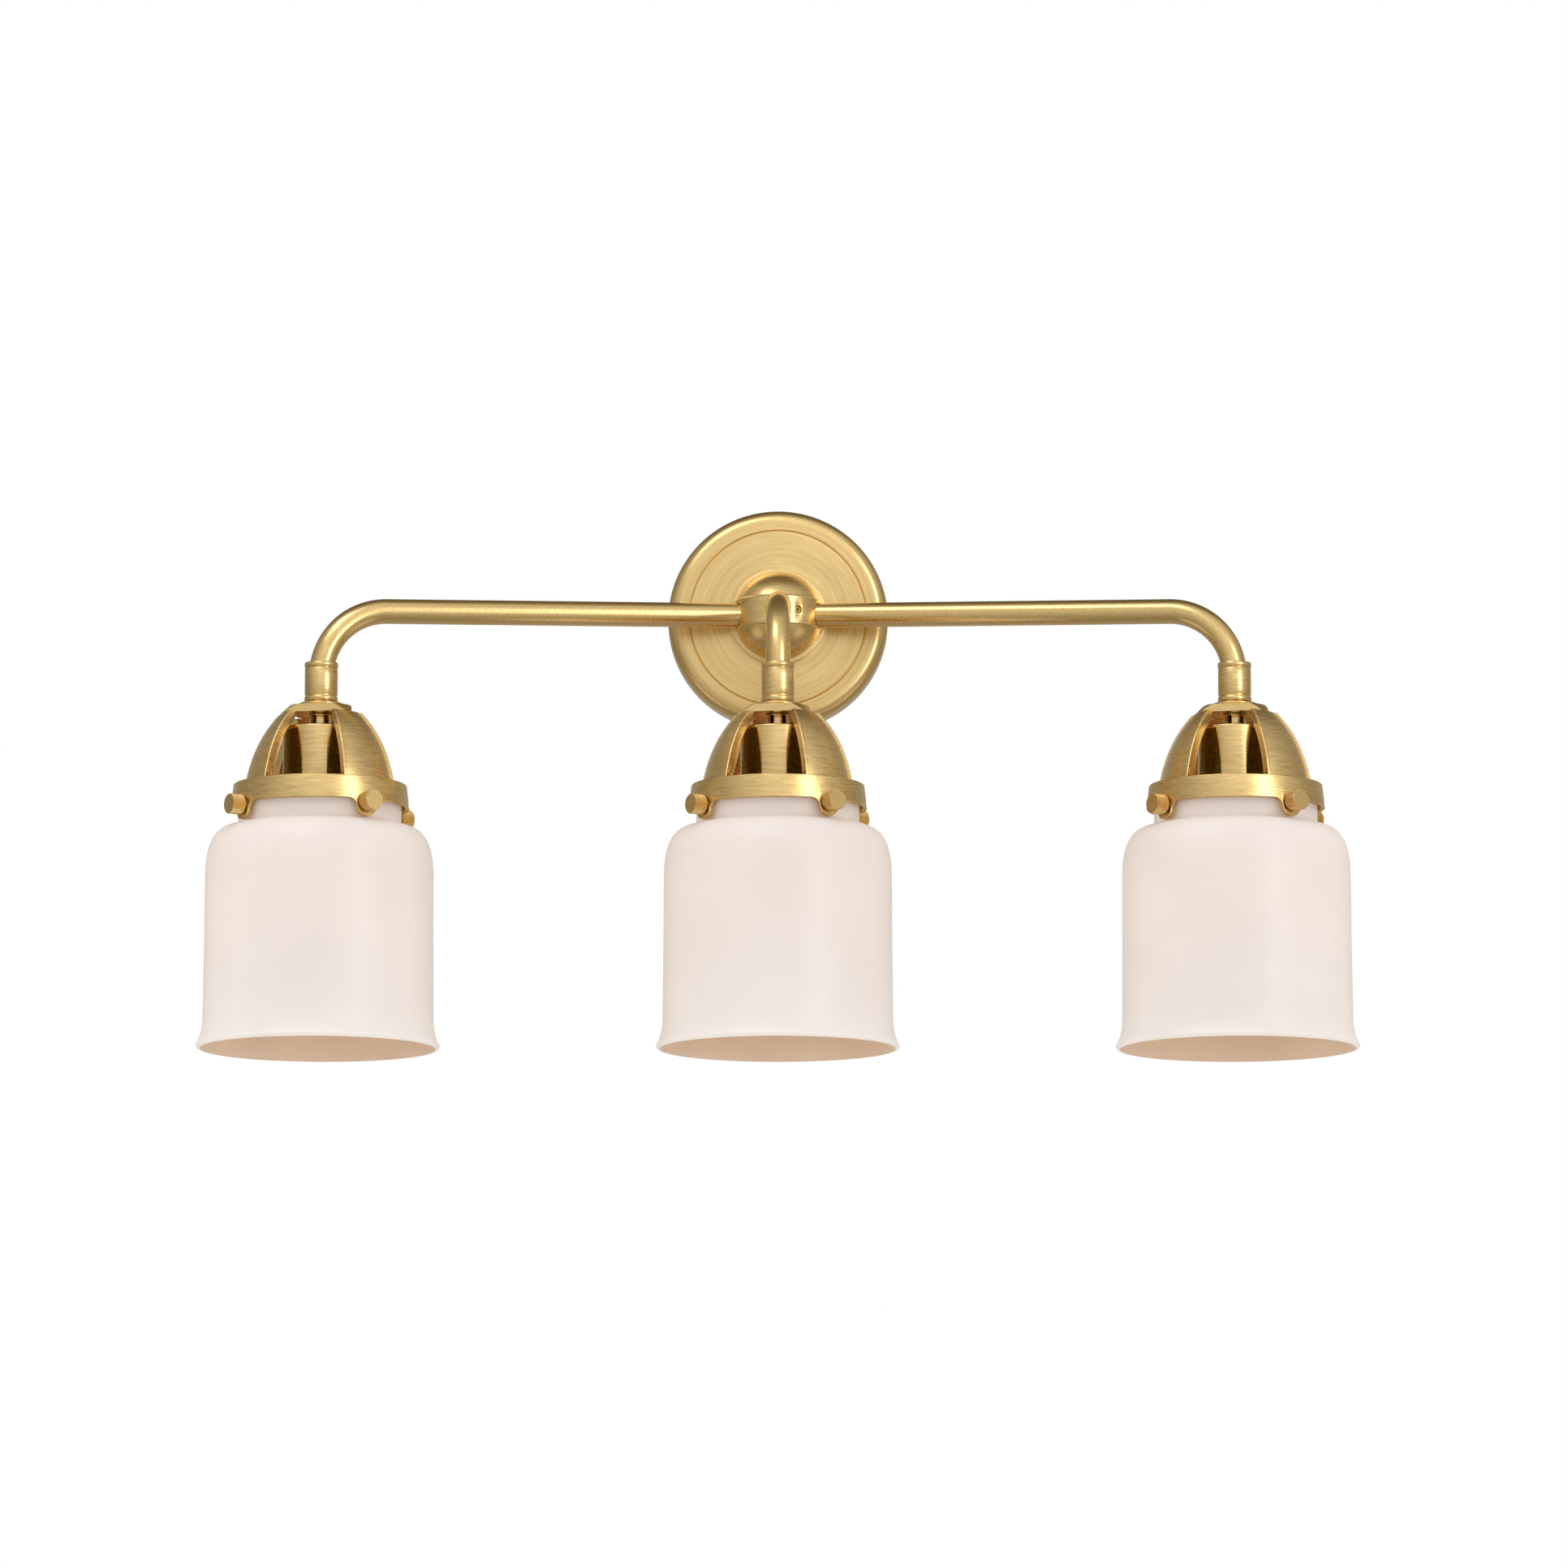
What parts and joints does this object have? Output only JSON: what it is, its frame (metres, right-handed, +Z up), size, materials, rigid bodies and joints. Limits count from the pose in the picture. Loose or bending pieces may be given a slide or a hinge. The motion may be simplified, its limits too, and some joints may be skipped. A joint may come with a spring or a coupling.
{
  "type": "vanity light bar",
  "caption": "Wall-mounted vanity light: round plate, ball hub and bent brass arms that hold bell-shaped opal glass shades over screw-in bulbs.",
  "frame": {"origin": "centre of the wall plate, on the wall's surface", "axes": "+Z up, +X to the viewer's right when facing the wall's fitting, -Y out of the wall towards the room"},
  "size_m": [0.5846, 0.1522, 0.2905],
  "materials": {
    "satin_brass": "satin, brushed and lacquered, pale gold",
    "plain_brass": "drawn sheet brass, unlacquered",
    "zinc_steel": "zinc-plated steel",
    "green_screw": "green passivated earth screw",
    "dark_phenolic": "moulded phenolic, dark brown",
    "nickel_base": "rolled thread, bright",
    "frosted_glass": "inside-frosted bulb glass",
    "opal_glass": "satin-etched opal white glass"
  },
  "bodies": {
    "root": {"wall_plate": "satin_brass", "crossbar": "zinc_steel", "hub_stem": "zinc_steel", "stem_back_nut": "zinc_steel", "stem_front_nut": "zinc_steel", "ground_screw": "green_screw", "hub_ball": "satin_brass", "hub_set_screw": "zinc_steel", "arm_left": "satin_brass", "arm_centre": "satin_brass", "arm_right": "satin_brass", "collar_left": "satin_brass", "check_ring_left": "satin_brass", "nipple_left": "zinc_steel", "vent_sleeve_left": "satin_brass", "holder_left": "satin_brass", "socket_cup_left": "satin_brass", "socket_body_left": "dark_phenolic", "screw_shell_left": "plain_brass", "shade_left": "opal_glass", "collar_centre": "satin_brass", "check_ring_centre": "satin_brass", "nipple_centre": "zinc_steel", "vent_sleeve_centre": "satin_brass", "holder_centre": "satin_brass", "socket_cup_centre": "satin_brass", "socket_body_centre": "dark_phenolic", "screw_shell_centre": "plain_brass", "shade_centre": "opal_glass", "collar_right": "satin_brass", "check_ring_right": "satin_brass", "nipple_right": "zinc_steel", "vent_sleeve_right": "satin_brass", "holder_right": "satin_brass", "socket_cup_right": "satin_brass", "socket_body_right": "dark_phenolic", "screw_shell_right": "plain_brass", "shade_right": "opal_glass"},
    "bulb_left": {"bulb_base_left": "nickel_base", "bulb_glass_left": "frosted_glass"},
    "thumbscrew_left_1": {"thumbscrew_left_1": "satin_brass"},
    "thumbscrew_left_2": {"thumbscrew_left_2": "satin_brass"},
    "thumbscrew_left_3": {"thumbscrew_left_3": "satin_brass"},
    "thumbscrew_left_4": {"thumbscrew_left_4": "satin_brass"},
    "bulb_centre": {"bulb_base_centre": "nickel_base", "bulb_glass_centre": "frosted_glass"},
    "thumbscrew_centre_1": {"thumbscrew_centre_1": "satin_brass"},
    "thumbscrew_centre_2": {"thumbscrew_centre_2": "satin_brass"},
    "thumbscrew_centre_3": {"thumbscrew_centre_3": "satin_brass"},
    "thumbscrew_centre_4": {"thumbscrew_centre_4": "satin_brass"},
    "bulb_right": {"bulb_base_right": "nickel_base", "bulb_glass_right": "frosted_glass"},
    "thumbscrew_right_1": {"thumbscrew_right_1": "satin_brass"},
    "thumbscrew_right_2": {"thumbscrew_right_2": "satin_brass"},
    "thumbscrew_right_3": {"thumbscrew_right_3": "satin_brass"},
    "thumbscrew_right_4": {"thumbscrew_right_4": "satin_brass"}
  },
  "joints": [
    {"name": "bulb_turn_left", "type": "hinge", "parent": "root", "child": "bulb_left", "pos_m": [-0.232, -0.091, -0.145], "axis": [0, 0, 1], "continuous": true},
    {"name": "screw_out_left_1", "type": "slide", "parent": "root", "child": "thumbscrew_left_1", "axis": [0.5664, -0.8241, 0], "range_m": [0, 0.0025]},
    {"name": "screw_out_left_2", "type": "slide", "parent": "root", "child": "thumbscrew_left_2", "axis": [0.8241, 0.5664, 0], "range_m": [0, 0.0025]},
    {"name": "screw_out_left_3", "type": "slide", "parent": "root", "child": "thumbscrew_left_3", "axis": [-0.5664, 0.8241, 0], "range_m": [0, 0.0025]},
    {"name": "screw_out_left_4", "type": "slide", "parent": "root", "child": "thumbscrew_left_4", "axis": [-0.8241, -0.5664, 0], "range_m": [0, 0.0025]},
    {"name": "bulb_turn_centre", "type": "hinge", "parent": "root", "child": "bulb_centre", "pos_m": [0, -0.091, -0.145], "axis": [0, 0, 1], "continuous": true},
    {"name": "screw_out_centre_1", "type": "slide", "parent": "root", "child": "thumbscrew_centre_1", "axis": [0.5664, -0.8241, 0], "range_m": [0, 0.0025]},
    {"name": "screw_out_centre_2", "type": "slide", "parent": "root", "child": "thumbscrew_centre_2", "axis": [0.8241, 0.5664, 0], "range_m": [0, 0.0025]},
    {"name": "screw_out_centre_3", "type": "slide", "parent": "root", "child": "thumbscrew_centre_3", "axis": [-0.5664, 0.8241, 0], "range_m": [0, 0.0025]},
    {"name": "screw_out_centre_4", "type": "slide", "parent": "root", "child": "thumbscrew_centre_4", "axis": [-0.8241, -0.5664, 0], "range_m": [0, 0.0025]},
    {"name": "bulb_turn_right", "type": "hinge", "parent": "root", "child": "bulb_right", "pos_m": [0.232, -0.091, -0.145], "axis": [0, 0, 1], "continuous": true},
    {"name": "screw_out_right_1", "type": "slide", "parent": "root", "child": "thumbscrew_right_1", "axis": [0.5664, -0.8241, 0], "range_m": [0, 0.0025]},
    {"name": "screw_out_right_2", "type": "slide", "parent": "root", "child": "thumbscrew_right_2", "axis": [0.8241, 0.5664, 0], "range_m": [0, 0.0025]},
    {"name": "screw_out_right_3", "type": "slide", "parent": "root", "child": "thumbscrew_right_3", "axis": [-0.5664, 0.8241, 0], "range_m": [0, 0.0025]},
    {"name": "screw_out_right_4", "type": "slide", "parent": "root", "child": "thumbscrew_right_4", "axis": [-0.8241, -0.5664, 0], "range_m": [0, 0.0025]}
  ]
}
